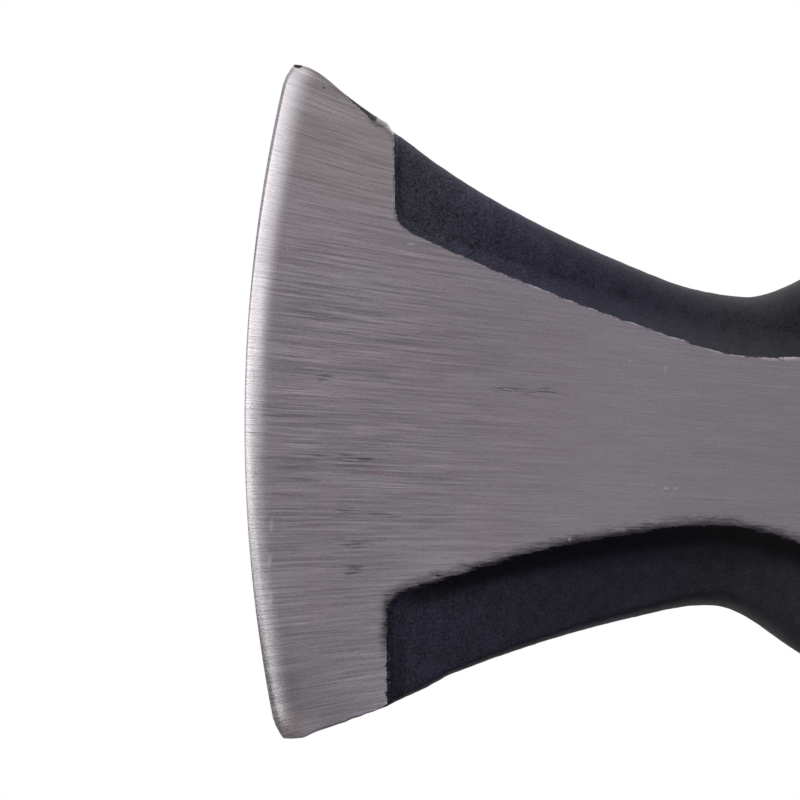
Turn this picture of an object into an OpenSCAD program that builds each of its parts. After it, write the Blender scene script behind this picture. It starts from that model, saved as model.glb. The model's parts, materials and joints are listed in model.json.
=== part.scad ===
// Splitting maul: a drop-forged steel head with ground cheeks on a hickory handle.
// A hardwood wedge and a steel ring wedge spread the handle in the head's tapered eye,
// and a screwed steel collar guards the wood below the head.
// Millimetres. +Z runs up the handle to the head, and the cutting edge points to -X.
// The origin is the centre of the handle's butt face.

/* [Overall] */
// Height of the head's crown above the butt of the handle
crown_z = 820; // [760:5:900]

/* [Head] */
// Length from the front of the cutting edge to the poll face
head_len = 198; // [192:1:206]
// Distance from the front of the cutting edge to the centre of the eye
eye_u = 124; // [122:1:128]
// Height of the eye body from its underside to its crown
body_h = 56; // [53:1:58]
// Width across the eye body
body_w = 50; // [46:1:52]
// Height of the poll face
poll_h = 52; // [45:1:54]
// Width across the poll face
poll_w = 48; // [42:1:50]
// Angle of each ground cheek to the middle plane
cheek_angle = 13.5; // [12:0.5:15]
// Angle of each face of the cutting bevel to the middle plane
bevel_angle = 21; // [18:1:26]
// Length of the cutting bevel
bevel_len = 2.2; // [1.5:0.1:3]
// Thickness left at the cutting edge
edge_t = 0.5; // [0.3:0.1:1]
// Radius of the cutting edge seen from the side
edge_r = 209; // [200:1:230]
// Depth of the step where the ground ears end
shoulder_step = 1.0; // [0.6:0.1:1.4]
// Greatest depth of the forged flanks below the ground cheek
flank_depth = 5.6; // [4:0.2:6.4]

/* [Eye] */
// Length of the eye at the underside of the head
eye_len = 56; // [54:0.5:58]
// Width of the eye at the underside of the head
eye_wid = 25; // [23:0.5:26]
// How much longer and wider the eye is at the crown
eye_flare = 4; // [2:0.5:4]

/* [Handle] */
// Length of the oval across the grip
grip_len = 35; // [32:1:38]
// Width of the oval across the grip
grip_wid = 28; // [26:1:30]
// Length of the oval across the knob
knob_len = 48; // [44:1:52]
// Width of the oval across the knob
knob_wid = 34; // [32:1:36]
// How far the knob leans towards the cutting edge
knob_lean = 4; // [0:1:6]
// How far the wood stands out above the crown
proud = 3; // [1:0.5:5]
// Diameter of the hanging hole through the knob
hang_d = 9; // [6:0.5:10]
// Height of the hanging hole above the butt
hang_z = 36; // [30:1:44]

/* [Wedges] */
// Depth of the kerf and its hardwood wedge below the end of the wood
kerf_depth = 40; // [34:1:44]
// Thickness of the hardwood wedge at its top
kerf_top = 6; // [5:0.5:7]
// Thickness of the hardwood wedge at its bottom
kerf_tip = 1.2; // [1:0.1:2]
// Outer diameter of the steel ring wedge at its top
ring_d = 19; // [17:0.5:20]
// Wall of the steel ring wedge at its top
ring_wall = 2.4; // [2:0.1:3]
// Depth of the steel ring wedge
ring_depth = 20; // [16:1:24]

/* [Collar] */
// Length of the steel collar along the handle
collar_len = 64; // [56:1:76]
// Thickness of the collar's sheet
collar_t = 1.6; // [1.2:0.1:2]
// Gap between the collar and the underside of the head
collar_gap = 0.6; // [0.3:0.1:2]
// Diameter of the collar screws' shanks
screw_d = 3.5; // [3:0.5:4]
// Diameter of the collar screws' heads
screw_head_d = 7.2; // [6.5:0.1:8]
// Length of the collar screws below their heads
screw_len = 9; // [8:1:10]

/* [Hidden] */

$fn = 64;
body_z = crown_z - body_h / 2;    // height of the head's centre line
under_z = crown_z - body_h;       // height of the head's underside
wood_top = crown_z + proud;
collar_top = under_z - collar_gap;
collar_bottom = collar_top - collar_len;
screw_zs = [collar_top - 14, collar_bottom + 14];

// Where the outline changes, measured back from the front of the cutting edge.
edge_mid = [edge_r, 16];          // centre of the cutting edge's arc, as u and height
shoulder_u = 15.8;                // station where the ground ears end
shoulder_run = 0.8;               // length of the shoulder's wall
neck_u = 67;                      // narrowest place
body_u = 84;                      // start of the level crown
poll_u = 156;                     // end of the level crown
waist_u = 170;                    // end of the blend into the poll
face_chamfer = 2.5;               // chamfer round the poll face
neck_h = 42.4;                    // height at the narrowest place

// Outline heights above and below the centre line, as [u, height, slope].
upper_knots = [
    [3.4, 47.6, 0], [9, 45.2, -0.6], [18, 39.6, -0.62], [30, 32.5, -0.49], [56, 22.7, -0.30],
    [neck_u, neck_h / 2, 0], [body_u, body_h / 2, 0], [poll_u, body_h / 2, 0],
    [waist_u, poll_h / 2, 0], [head_len, poll_h / 2, 0]
];
lower_knots = [
    [9.8, 44.5, 0], [15, 42.9, -0.46], [23.4, 38.8, -0.56], [32, 33.6, -0.50], [56, 23.8, -0.32],
    [neck_u, neck_h / 2, 0], [body_u, body_h / 2, 0], [poll_u, body_h / 2, 0],
    [waist_u, poll_h / 2, 0], [head_len, poll_h / 2, 0]
];
// Height of the raised cheek's border above and below the centre line, as [u, height, slope].
upper_cheek_knots = [
    [0, 30, -0.15], [shoulder_u, 26.9, -0.34], [24.5, 24.2, -0.3], [46.5, 17.8, -0.28],
    [58.5, 14.6, -0.24], [68, 13, 0], [body_u, 15, 0.1], [head_len, 14, 0]
];
lower_cheek_knots = [
    [0, 27.5, -0.2], [shoulder_u, 23.3, -0.3], [24.5, 20.8, -0.28], [36.5, 17, -0.28],
    [48.5, 13.7, -0.25], [60.5, 10.8, -0.2], [68, 10, 0], [body_u, 13, 0.1], [head_len, 14, 0]
];
// Half width of the poll and eye body, as [u, half width, slope].
side_knots = [
    [poll_u - 4, body_w / 2, 0], [waist_u, poll_w / 2 - 0.8, 0], [head_len, poll_w / 2, 0]
];
// Depth of the flanks below the cheek, as [u, depth, slope].
flank_knots = [
    [shoulder_u, 0, 0], [shoulder_u + shoulder_run, shoulder_step, 0.1],
    [58, flank_depth * 0.9, 0.08], [neck_u, flank_depth, 0], [body_u + 3, 0, 0]
];
// Height of the rounding beside the outline, and the width it leaves, as [u, value, slope].
round_knots = [
    [0, 3, -0.2], [8, 0.8, 0], [shoulder_u, 0.8, 0], [shoulder_u + 4, 5, 0.2], [neck_u, 6.5, 0],
    [body_u, 4, 0], [poll_u, 4, 0], [head_len, 5, 0]
];
crest_knots = [
    [0, 0.8, 0], [shoulder_u, 0.8, 0], [shoulder_u + 4, 0.35, 0], [neck_u, 0.3, 0],
    [body_u, 0.84, 0], [head_len, 0.8, 0]
];
// Stations along the head, from the cutting edge to the poll face.
stations = [
    0, 0.7, 1.4, bevel_len, 3.2, 5, 8, 12, shoulder_u, shoulder_u + shoulder_run, 19, 23, 27,
    31, 36, 41, 46, 51, 56, 61, 65, 69, 73, 76, 79, 82, 85, 89, 93, 97, 101, 112, 136,
    poll_u - 4, poll_u, 161, 165, waist_u, 184, head_len - face_chamfer, head_len
];

// Half sections of the handle, as [height, half length, half width, lean towards the edge].
handle_sections = [
    [0, knob_len / 2 - 4, knob_wid / 2 - 3, 0],
    [1.5, knob_len / 2 - 2, knob_wid / 2 - 1.2, knob_lean * 0.3],
    [5, knob_len / 2, knob_wid / 2, knob_lean * 0.6],
    [20, knob_len / 2 + 0.5, knob_wid / 2, knob_lean],
    [40, knob_len / 2 - 1, knob_wid / 2 - 0.5, knob_lean],
    [75, grip_len / 2 + 2, grip_wid / 2 + 0.8, knob_lean * 0.5],
    [115, grip_len / 2, grip_wid / 2, 0],
    [300, grip_len / 2 + 0.5, grip_wid / 2, 0],
    [500, grip_len / 2 + 2, grip_wid / 2 + 0.5, 0],
    [collar_bottom - 40, eye_len / 2 - 3, grip_wid / 2 + 0.5, 0],
    [collar_bottom, eye_len / 2 + 0.2, grip_wid / 2 + 0.2, 0],
    [under_z - 5, eye_len / 2 + 1, eye_wid / 2 + 1.2, 0]
];
handle_zs = [
    0, 1.5, 5, 12, 20, 30, 40, 52, 64, 75, 88, 100, 115, 160, 230, 300, 380, 440, 500, 560,
    (560 + collar_bottom - 40) / 2, collar_bottom - 40, collar_bottom - 20, collar_bottom,
    (collar_bottom + collar_top) / 2, collar_top
];
oval_points = 32;
oval_power = 2.5;                 // 2 is an ellipse, and more is squarer
collar_lip = 0.9;                 // how far the collar's lower edge curls outwards

function mix(a, b, t) = a + (b - a) * t;
function share(x) = min(max(x, 0), 1);
function smooth(x) = share(x) * share(x) * (3 - 2 * share(x));

// A smooth curve through [x, y, slope] knots, level beyond its ends.
function curve(k, x) =
    let (xc = min(max(x, k[0][0]), k[len(k) - 1][0]))
    let (i = max([for (j = [0 : len(k) - 2]) if (k[j][0] <= xc) j]))
    let (h = k[i + 1][0] - k[i][0], t = (xc - k[i][0]) / h)
    (2 * t^3 - 3 * t^2 + 1) * k[i][1] + (t^3 - 2 * t^2 + t) * h * k[i][2]
    + (3 * t^2 - 2 * t^3) * k[i + 1][1] + (t^3 - t^2) * h * k[i + 1][2];

// The cutting edge: where its arc stands at a height above the centre line.
function edge_u(z) = edge_mid[0] - sqrt(edge_r^2 - (z - edge_mid[1])^2);

// Half thickness of the ground wedge, a distance d behind the cutting edge.
function bevel_half(d) = edge_t / 2 + min(d, bevel_len) * tan(bevel_angle);
function wedge_half(d) = bevel_half(d) + max(d - bevel_len, 0) * tan(cheek_angle);

// A station is a line across the head: curved and tilted like the cutting edge at the front,
// straight and upright from the neck back. The edge's two corners are slightly rounded.
function tilt(q) = 3.2 * (1 - smooth((q - 15) / 45));
function set_back(q) = 6.6 * (1 - smooth(q / 50));
function bow(q) = 6 * (1 - smooth(q / 18));
function corner_round(depth) = 0.9 * share(1 - depth / 3)^2;
function top_u(q) = q + set_back(q) - tilt(q);
function bottom_u(q) = q + set_back(q) + tilt(q);

function cheek_line(q, up) = curve(up ? upper_cheek_knots : lower_cheek_knots, q);

// Heights of a station's points from the centre line to the outline.
function section_heights(q, top, up, chamfer) =
    let (f = min(cheek_line(q, up), top * 0.66), deep = curve(flank_knots, q))
    let (r = curve(round_knots, q), foot = f + 0.2 + 0.6 * deep)
    [
        0, f * 0.4, f * 0.75, f, foot, mix(foot, top - r, 0.5),
        top - r, top - r * 0.5, top - r * 0.2, top - r * 0.05, top
    ] * (top - chamfer) / top;

// Half thickness of the head at station q and height z, where the outline stands at top.
function half_width(q, u, z, top) =
    let (cheek = min(wedge_half(mix(u - edge_u(z), u, smooth(q / 60))), body_w / 2))
    let (side = q < poll_u - 4 ? cheek : curve(side_knots, q))
    let (f = cheek_line(q, z > 0), deep = curve(flank_knots, q), run = 0.2 + 0.6 * deep)
    let (flank = side - deep * share((abs(z) - f) / run))
    let (x = share((top - abs(z)) / curve(round_knots, q)), k = curve(crest_knots, q))
    flank * (k + (1 - k) * sqrt(1 - (1 - x)^2));

function head_point(q, up, i, side) =
    let (top = up ? curve(upper_knots, top_u(q)) : curve(lower_knots, bottom_u(q)))
    let (chamfer = q == head_len ? face_chamfer : 0)
    let (z = section_heights(q, top, up, chamfer)[i], t = (up ? 1 : -1) * z / top)
    let (straight_u = mix(bottom_u(q), top_u(q), (t + 1) / 2) - bow(q) * (1 - t^2))
    let (height = up ? z : -z, curved_u = edge_u(height) + q + corner_round(top - z))
    let (u = mix(curved_u, straight_u, smooth(q / 12)))
    [u - eye_u, side * (half_width(q, u, height, top) - chamfer), body_z + height];

section_count = 11;
function head_side(q, side) = concat(
    [for (i = [section_count - 1 : -1 : 1]) head_point(q, false, i, side)],
    [for (i = [0 : section_count - 1]) head_point(q, true, i, side)]
);
function backwards(list) = [for (i = [len(list) - 1 : -1 : 0]) list[i]];
function head_ring(q) = concat(head_side(q, 1), backwards(head_side(q, -1)));

// An oval ring of half length a and half width b at height z, leaning by dx towards -X.
function signed_power(x, p) = sign(x) * abs(x)^p;
function oval(a, b, z, dx = 0) = [
    for (i = [0 : oval_points - 1])
        let (angle = (i + 0.5) * 360 / oval_points)
        [
            a * signed_power(cos(angle), 2 / oval_power) - dx,
            b * signed_power(sin(angle), 2 / oval_power), z
        ]
];

// The eye and the wood in it, at a height.
function eye_ring(z) =
    let (flare = eye_flare * (z - under_z) / body_h / 2)
    oval(eye_len / 2 + flare, eye_wid / 2 + flare, z);

function section_knots(column) = [
    for (i = [0 : len(handle_sections) - 1])
        let (s = handle_sections, a = s[max(i - 1, 0)], b = s[min(i + 1, len(s) - 1)])
        [s[i][0], s[i][column], i == 0 ? 0 : (b[column] - a[column]) / (b[0] - a[0])]
];
len_knots = section_knots(1);
wid_knots = section_knots(2);
lean_knots = section_knots(3);
function handle_ring(z, out = 0) =
    oval(curve(len_knots, z) + out, curve(wid_knots, z) + out, z, curve(lean_knots, z));

// A closed solid through rings of equal length, each with its points paired end to end.
module skin(rings) {
    n = len(rings[0]);
    last = (len(rings) - 1) * n;
    sides = [
        for (i = [0 : len(rings) - 2], j = [0 : n - 1])
            let (a = i * n + j, b = i * n + (j + 1) % n)
            each [[a, a + n, b + n], [a, b + n, b]]
    ];
    caps = [
        for (j = [0 : n / 2 - 2])
            each [
                [j, j + 1, n - 2 - j], [j, n - 2 - j, n - 1 - j],
                [last + j, last + n - 2 - j, last + j + 1],
                [last + j, last + n - 1 - j, last + n - 2 - j]
            ]
    ];
    polyhedron(points = [for (ring = rings) each ring], faces = concat(sides, caps));
}

module maul_head() {
    color("slategray")
        difference() {
            skin([for (q = stations) head_ring(q)]);
            skin([eye_ring(under_z - 2), eye_ring(crown_z + 2)]);
        }
}

// The steel ring wedge: a tube whose wall thins to its lower edge.
module ring_wedge_shape() {
    translate([0, 0, wood_top - ring_depth])
        rotate_extrude()
            polygon([
                [ring_d / 2 - ring_wall * 0.6, 0], [ring_d / 2 - ring_wall * 0.4, 0],
                [ring_d / 2, ring_depth], [ring_d / 2 - ring_wall, ring_depth]
            ]);
}

// The tapered kerf, along the eye, that holds the hardwood wedge.
module kerf_shape() {
    translate([0, 0, wood_top - kerf_depth])
        rotate([90, 0, 90])
            linear_extrude(height = eye_len * 2, center = true)
                polygon([
                    [-kerf_tip / 2, 0], [kerf_tip / 2, 0],
                    [kerf_top / 2, kerf_depth], [-kerf_top / 2, kerf_depth]
                ]);
}

module in_the_eye() {
    skin([eye_ring(wood_top - kerf_depth), eye_ring(crown_z), eye_ring(wood_top)]);
}

module at_collar_screws() {
    for (side = [-1, 1], z = screw_zs)
        collar_screw_place(side, z)
            children();
}

// Puts a screw's frame, its head outwards, on a flat side of the collar.
module collar_screw_place(side, z) {
    translate([0, side * (curve(wid_knots, z) + collar_t), z])
        rotate([-90 * side, 0, 0])
            children();
}

module screw_shank(extra = 0) {
    translate([0, 0, -screw_len])
        cylinder(d = screw_d, h = screw_len + extra);
}

module handle() {
    color("burlywood")
        difference() {
            skin(concat(
                [for (z = handle_zs) handle_ring(z)],
                [eye_ring(under_z), eye_ring(crown_z), eye_ring(wood_top)]
            ));
            kerf_shape();
            ring_wedge_shape();
            translate([-knob_lean, 0, hang_z])
                rotate([90, 0, 0])
                    cylinder(d = hang_d, h = knob_wid * 2, center = true);
            at_collar_screws() screw_shank();
        }
}

module kerf_wedge() {
    color("tan")
        difference() {
            intersection() {
                kerf_shape();
                in_the_eye();
            }
            ring_wedge_shape();
        }
}

module ring_wedge() {
    color("silver")
        ring_wedge_shape();
}

module overstrike_collar() {
    mid_z = (collar_bottom + collar_top) / 2;
    color("dimgray")
        difference() {
            skin([
                handle_ring(collar_bottom, collar_t + collar_lip),
                handle_ring(collar_bottom + 3, collar_t),
                handle_ring(mid_z, collar_t), handle_ring(collar_top, collar_t)
            ]);
            skin([
                handle_ring(collar_bottom - 20), handle_ring(collar_bottom),
                handle_ring(mid_z), handle_ring(collar_top), handle_ring(collar_top + 0.4)
            ]);
            at_collar_screws() screw_shank(1);
        }
}

// A round-headed wood screw with a cross recess.
module collar_screw(side, z) {
    head_h = 2.3;
    cap_r = (head_h^2 + (screw_head_d / 2)^2) / (2 * head_h);
    color("gainsboro")
        collar_screw_place(side, z)
            difference() {
                union() {
                    screw_shank();
                    intersection() {
                        translate([0, 0, head_h - cap_r]) sphere(r = cap_r);
                        cylinder(d = screw_head_d * 1.2, h = head_h * 2);
                    }
                }
                for (angle = [0, 90])
                    rotate(angle)
                        translate([-1.9, -0.45, head_h - 1.3])
                            cube([3.8, 0.9, 2]);
            }
}

maul_head();
handle();
kerf_wedge();
ring_wedge();
overstrike_collar();
collar_screw(-1, screw_zs[0]);  // collar_screw_left_upper
collar_screw(-1, screw_zs[1]);  // collar_screw_left_lower
collar_screw(1, screw_zs[0]);  // collar_screw_right_upper
collar_screw(1, screw_zs[1]);  // collar_screw_right_lower
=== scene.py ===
import json
import math

import bmesh
import bpy
import numpy as np
from mathutils import Matrix, Vector


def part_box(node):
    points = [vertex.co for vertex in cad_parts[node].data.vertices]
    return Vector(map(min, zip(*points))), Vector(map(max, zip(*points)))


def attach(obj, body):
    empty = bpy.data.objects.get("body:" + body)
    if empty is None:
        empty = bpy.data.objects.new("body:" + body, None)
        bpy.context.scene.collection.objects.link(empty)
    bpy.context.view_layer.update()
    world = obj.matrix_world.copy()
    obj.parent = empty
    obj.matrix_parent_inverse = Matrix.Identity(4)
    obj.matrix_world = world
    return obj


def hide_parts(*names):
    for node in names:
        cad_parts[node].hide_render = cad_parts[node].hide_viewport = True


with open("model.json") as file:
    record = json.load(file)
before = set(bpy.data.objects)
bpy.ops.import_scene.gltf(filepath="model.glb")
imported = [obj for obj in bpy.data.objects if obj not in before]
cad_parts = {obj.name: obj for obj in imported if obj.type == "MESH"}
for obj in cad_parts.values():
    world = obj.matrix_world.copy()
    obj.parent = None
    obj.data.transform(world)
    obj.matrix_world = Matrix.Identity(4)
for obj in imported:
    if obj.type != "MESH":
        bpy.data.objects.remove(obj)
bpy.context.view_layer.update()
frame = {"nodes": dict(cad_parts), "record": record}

# ---- sizes, in millimetres
# u runs back from the front of the cutting edge, and heights count from the head's centre line.
MM = 0.001
MOUNTS = {mount["name"]: mount for mount in frame["record"]["mounts"]}
POLL_X, _, BODY_Z = (c / MM for c in MOUNTS["poll_face"]["pos_m"])
HANG_X, _, HANG_Z = (c / MM for c in MOUNTS["hang_hole"]["pos_m"])
HEAD_LEN = 198.0
EYE_U = HEAD_LEN - POLL_X  # the eye's centre
BODY_H, BODY_W = 56.0, 50.0
POLL_H, POLL_W = 52.0, 48.0
NECK_H = 42.4
EDGE_R, EDGE_Z = 209.0, 16.0  # radius of the cutting edge, and its centre's height
SHOULDER_U, NECK_U, BODY_U, POLL_U, WAIST_U = 15.8, 67.0, 84.0, 156.0, 170.0
JOIN_U = POLL_U - 4  # where the eye body starts to narrow to the poll
CROWN_Z = BODY_Z + BODY_H / 2
UNDER_Z = BODY_Z - BODY_H / 2
WOOD_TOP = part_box("handle")[1].z / MM
EYE_LEN, EYE_WID, EYE_FLARE = 56.0, 25.0, 4.0
EYE_RIM = 0.7  # rounding of the eye's rims
COLLAR_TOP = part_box("overstrike_collar")[1].z / MM
COLLAR_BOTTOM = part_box("overstrike_collar")[0].z / MM
COLLAR_T = 1.6
KERF_DEPTH, KERF_TOP, KERF_TIP = 40.0, 6.0, 1.2
RING_R, RING_WALL, RING_DEPTH = 9.5, 2.4, 20.0
KERF_Z = WOOD_TOP - KERF_DEPTH
RING_Z = WOOD_TOP - RING_DEPTH
PAST_WOOD = 60  # half length of a bar that passes through the tenon

# Each row is u, or a height where the comment says so, then a value and its slope there.
# Half heights of the outline, above and below the centre line, and behind the bit
BODY = [(NECK_U, NECK_H / 2, 0), (BODY_U, BODY_H / 2, 0), (POLL_U, BODY_H / 2, 0),
        (WAIST_U, POLL_H / 2, 0), (HEAD_LEN, POLL_H / 2, 0)]
UPPER = [(3.4, 47.6, 0), (5.6, 47.25, -0.36), (8.05, 46, -0.66), (10.9, 43.92, -0.68), (15.2, 41.35, -0.5),
         (16.75, 40.6, -0.5), (17.45, 39.65, -0.9), (19, 38.8, -0.6), (24, 35.7, -0.58), (30, 32.5, -0.49),
         (56, 22.7, -0.3), *BODY]
LOWER = [(9.8, 44.5, -0.05), (12.4, 44.25, -0.25), (14.4, 43.25, -0.5), (23.4, 38.85, -0.55),
         (28, 36.3, -0.52), (32, 33.7, -0.5), (56, 23.8, -0.32), *BODY]
# Half heights of the raised cheek
UPPER_CHEEK = [(0, 30, -0.15), (SHOULDER_U, 26.9, -0.34), (24.5, 24.2, -0.3), (46.5, 17.8, -0.28),
               (58.5, 14.6, -0.24), (68, 13, 0), (BODY_U, 15, 0.12), (100, 16.5, 0), (HEAD_LEN, 16.5, 0)]
LOWER_CHEEK = [(0, 27.5, -0.2), (SHOULDER_U, 23.3, -0.3), (24.5, 20.8, -0.28), (36.5, 17, -0.28),
               (48.5, 13.7, -0.25), (60.5, 10.8, -0.2), (68, 10, 0), (BODY_U, 13, 0.15), (100, 14.5, 0),
               (HEAD_LEN, 14.5, 0)]
# u of the shoulder's wall, by height
SHOULDER_LINE = [(-40, 15.35, 0), (-26, 15.5, 0.02), (26, 16.3, 0), (40, 15.9, -0.03)]
# Half width of the body and the poll
SIDE = [(JOIN_U, BODY_W / 2, 0), (WAIST_U, POLL_W / 2 - 0.8, 0), (HEAD_LEN, POLL_W / 2, 0)]
# How deep the flanks are sunk below the cheek
FLANK = [(0, 0.9, 0), (SHOULDER_U, 0.9, 0.06), (58, 5.0, 0.08), (NECK_U, 5.6, 0), (BODY_U + 6, 0, 0)]
# Radii that round the outline over: above, below, and on the upper ear of the bit
UPPER_ROUND = [(SHOULDER_U, 4, 0.1), (NECK_U, 5, 0), (BODY_U, 4, 0), (POLL_U, 4, 0), (HEAD_LEN, 5, 0)]
LOWER_ROUND = [(SHOULDER_U, 1.0, 0), (52, 1.4, 0.02), (NECK_U, 2.5, 0.1), (BODY_U, 4, 0), (POLL_U, 4, 0),
               (HEAD_LEN, 5, 0)]
EAR_ROUND = [(0, 0.6, 0), (11, 0.5, 0), (12.8, 1.0, 0), (14.8, 1.0, 0), (SHOULDER_U, 0.6, 0)]
LOWER_EAR_ROUND = 0.2
# Share of the flank's thickness that is left where the rounding ends
CREST = [(SHOULDER_U, 0.4, 0), (NECK_U, 0.3, 0), (BODY_U, 0.84, 0), (HEAD_LEN, 0.8, 0)]
EAR_CREST = [(11, 0.93, 0), (13, 0.6, 0), (14.8, 0.6, 0), (15.8, 0.85, 0)]
LOWER_EAR_CREST = 0.93
# The ground wedge, by height: width of the blunt edge, reach and angle of the rounded bevel, how it
# falls off, and the angle at the very edge
BLUNT = [(-45, 1.15, 0), (-38, 0.62, -0.05), (-28, 0.3, -0.02), (-12, 0.14, 0), (8, 0.16, 0),
         (26, 0.34, 0.01), (46, 0.42, 0)]
BEVEL_REACH = [(-45, 3.6, 0), (-8, 3.7, 0), (16, 3.35, 0), (47, 4.2, 0)]
BEVEL_ANGLE = [(-45, 28, 0), (-5, 27, 0), (18, 23.5, 0), (47, 25, 0)]
BEVEL_FALL = [(-45, 1.7, 0), (-5, 1.8, 0), (16, 0.75, 0), (30, 1.0, 0), (47, 1.3, 0)]
EDGE_ANGLE = [(-45, 35, 0), (-20, 37, 0), (10, 42, 0)]
CHEEK_SLOPE = math.tan(math.radians(13.5))
# Chamfer round the poll face
CHAMFER = [(195.2, 0, 0), (195.7, 0.25, 0.9), (197.5, 2.05, 1), (198, 2.5, 0.9)]
# Width of the coat left along the outline of the ears
UPPER_SLIVER = [(7.3, -0.4, 0), (8.0, 0.12, 0.1), (9.4, 0.3, 0.12), (10.8, 0.5, 0.12), (12.2, 0.88, 0.1),
                (12.8, 0.7, -0.5), (13.3, -0.4, 0)]
LOWER_SLIVER = [(6, -0.2, 0), (9, 0.06, 0), (14, 0.14, 0), (15.5, 0.3, 0)]
# How much the coat's border wanders
UPPER_RAGGED = [(0, 0.3, 0), (14, 0.3, 0), (20, 0.16, 0), (30, 0.3, 0), (80, 0.25, 0), (96, 2.2, 0),
                (190, 2.2, 0), (195, 0.4, 0)]
LOWER_RAGGED = [(0, 0.1, 0), (13.4, 0.25, 0), (14.8, 1.2, 0), (24, 1.1, 0), (38, 0.8, 0),
                (60, 0.5, 0), (84, 0.5, 0), (96, 2.2, 0), (190, 2.2, 0), (195, 0.4, 0)]
HANDLE = [  # height, half length, half width and lean of the handle's sections
    (0, 20, 14, 0), (1.5, 22, 15.8, 1.2), (5, 24, 17, 2.4), (20, 24.5, 17, 4), (40, 23, 16.5, 4),
    (75, 19.5, 14.8, 2), (115, 17.5, 14, 0), (300, 18, 14, 0), (500, 19.5, 14.5, 0),
    (COLLAR_BOTTOM - 40, 25, 14.5, 0), (COLLAR_BOTTOM, 28.2, 14.2, 0), (UNDER_Z - 5, 29, 13.7, 0),
]


# ---- curves and noise
def curve(knots, x):
    """A smooth curve through (x, y, slope) knots, level beyond its ends."""
    k = np.array(knots, float)
    x = np.clip(np.asarray(x, float), k[0, 0], k[-1, 0])
    i = np.clip(np.searchsorted(k[:, 0], x, side="right") - 1, 0, len(k) - 2)
    a, b = k[i], k[i + 1]
    h = b[..., 0] - a[..., 0]
    t = (x - a[..., 0]) / h
    return ((2 * t**3 - 3 * t**2 + 1) * a[..., 1] + (t**3 - 2 * t**2 + t) * h * a[..., 2]
            + (3 * t**2 - 2 * t**3) * b[..., 1] + (t**3 - t**2) * h * b[..., 2])


def share(x):
    return np.clip(x, 0, 1)


def smooth(x):
    x = share(x)
    return x * x * (3 - 2 * x)


def mix(a, b, t):
    return a + (b - a) * t


def soft_min(a, b, k):
    """The smaller of a and b, blended where they are less than k apart."""
    h = np.maximum(k - np.abs(a - b), 0) / k
    return np.minimum(a, b) - h * h * k / 4


def soft_max(a, b, k):
    return -soft_min(-a, -b, k)


def lattice_value(cell, seed):
    """A number from 0 to 1 that is fixed for each whole-numbered cell."""
    low_bits = 0xFFFFFFFF
    x, y, z = cell.T
    h = (x * 374761393 + y * 668265263 + z * 2147483647 + seed * 97531) & low_bits
    h = ((h ^ (h >> 13)) * 1274126177) & low_bits
    return ((h ^ (h >> 16)) & 0xFFFFFF) / 0xFFFFFF


def value_noise(points, seed):
    """Smooth noise from 0 to 1 on a unit lattice."""
    cell = np.floor(points).astype(np.int64)
    f = points - cell
    f = f * f * (3 - 2 * f)
    total = np.zeros(len(points))
    for corner in range(8):
        offset = np.array([corner & 1, corner >> 1 & 1, corner >> 2 & 1])
        weight = np.prod(np.where(offset == 1, f, 1 - f), axis=1)
        total += lattice_value(cell + offset, seed) * weight
    return total


# ---- mesh helpers
def shade_smooth(mesh, sharp_angle):
    mesh.polygons.foreach_set("use_smooth", [True] * len(mesh.polygons))
    mesh.set_sharp_from_angle(angle=math.radians(sharp_angle))


def new_object(name, points, faces, sharp_angle=40):
    """An object from points in millimetres."""
    mesh = bpy.data.meshes.new(name)
    mesh.from_pydata([tuple(p) for p in points * MM], [], faces)
    mesh.validate()
    shade_smooth(mesh, sharp_angle)
    obj = bpy.data.objects.new(name, mesh)
    bpy.context.scene.collection.objects.link(obj)
    return obj


def apply_modifiers(obj, sharp_angle=40):
    graph = bpy.context.evaluated_depsgraph_get()
    mesh = bpy.data.meshes.new_from_object(obj.evaluated_get(graph), preserve_all_data_layers=True,
                                           depsgraph=graph)
    obj.modifiers.clear()
    obj.data = mesh
    shade_smooth(mesh, sharp_angle)


def carve(obj, cutter, operation="DIFFERENCE", sharp_angle=40):
    """A boolean with cutter, applied, after which cutter is gone."""
    modifier = obj.modifiers.new("carve", "BOOLEAN")
    modifier.operation = operation
    modifier.object = cutter
    modifier.solver = "EXACT"
    apply_modifiers(obj, sharp_angle)
    mesh = cutter.data
    bpy.data.objects.remove(cutter)
    bpy.data.meshes.remove(mesh)


def turn_outward(obj):
    bm = bmesh.new()
    bm.from_mesh(obj.data)
    bmesh.ops.recalc_face_normals(bm, faces=bm.faces)
    bm.to_mesh(obj.data)
    bm.free()


def tube_faces(rings, count, closed):
    """Faces between rings of count points each, and from the last to the first if closed."""
    steps = rings if closed else rings - 1
    faces = []
    for i in range(steps):
        near, far = i * count, (i + 1) % rings * count
        for j in range(count):
            k = (j + 1) % count
            faces.append((near + j, near + k, far + k, far + j))
    return faces


def skin(name, rings, sharp_angle=40):
    """A solid through a stack of rings, with flat ends."""
    count = len(rings[0])
    last = (len(rings) - 1) * count
    faces = tube_faces(len(rings), count, False)
    faces.append(tuple(range(count - 1, -1, -1)))
    faces.append(tuple(range(last, last + count)))
    return new_object(name, np.concatenate(rings), faces, sharp_angle)


def prism(name, outline, x0, x1):
    """A bar along X with an outline of (y, z) points."""
    obj = skin(name, [[(x, y, z) for y, z in outline] for x in (x0, x1)])
    turn_outward(obj)
    return obj


def lathe(name, profile, axis="Z", count=96, centre=(0, 0, 0), sharp_angle=40):
    """A closed profile of (radius, height) points turned about an axis."""
    points = []
    for i in range(count):
        a = 2 * math.pi * i / count
        for r, h in profile:
            across, along = r * math.cos(a), r * math.sin(a)
            points.append((across, along, h) if axis == "Z" else (across, h, along))
    faces = tube_faces(count, len(profile), True)
    obj = new_object(name, np.array(points) + np.array(centre), faces, sharp_angle)
    turn_outward(obj)
    return obj


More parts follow.
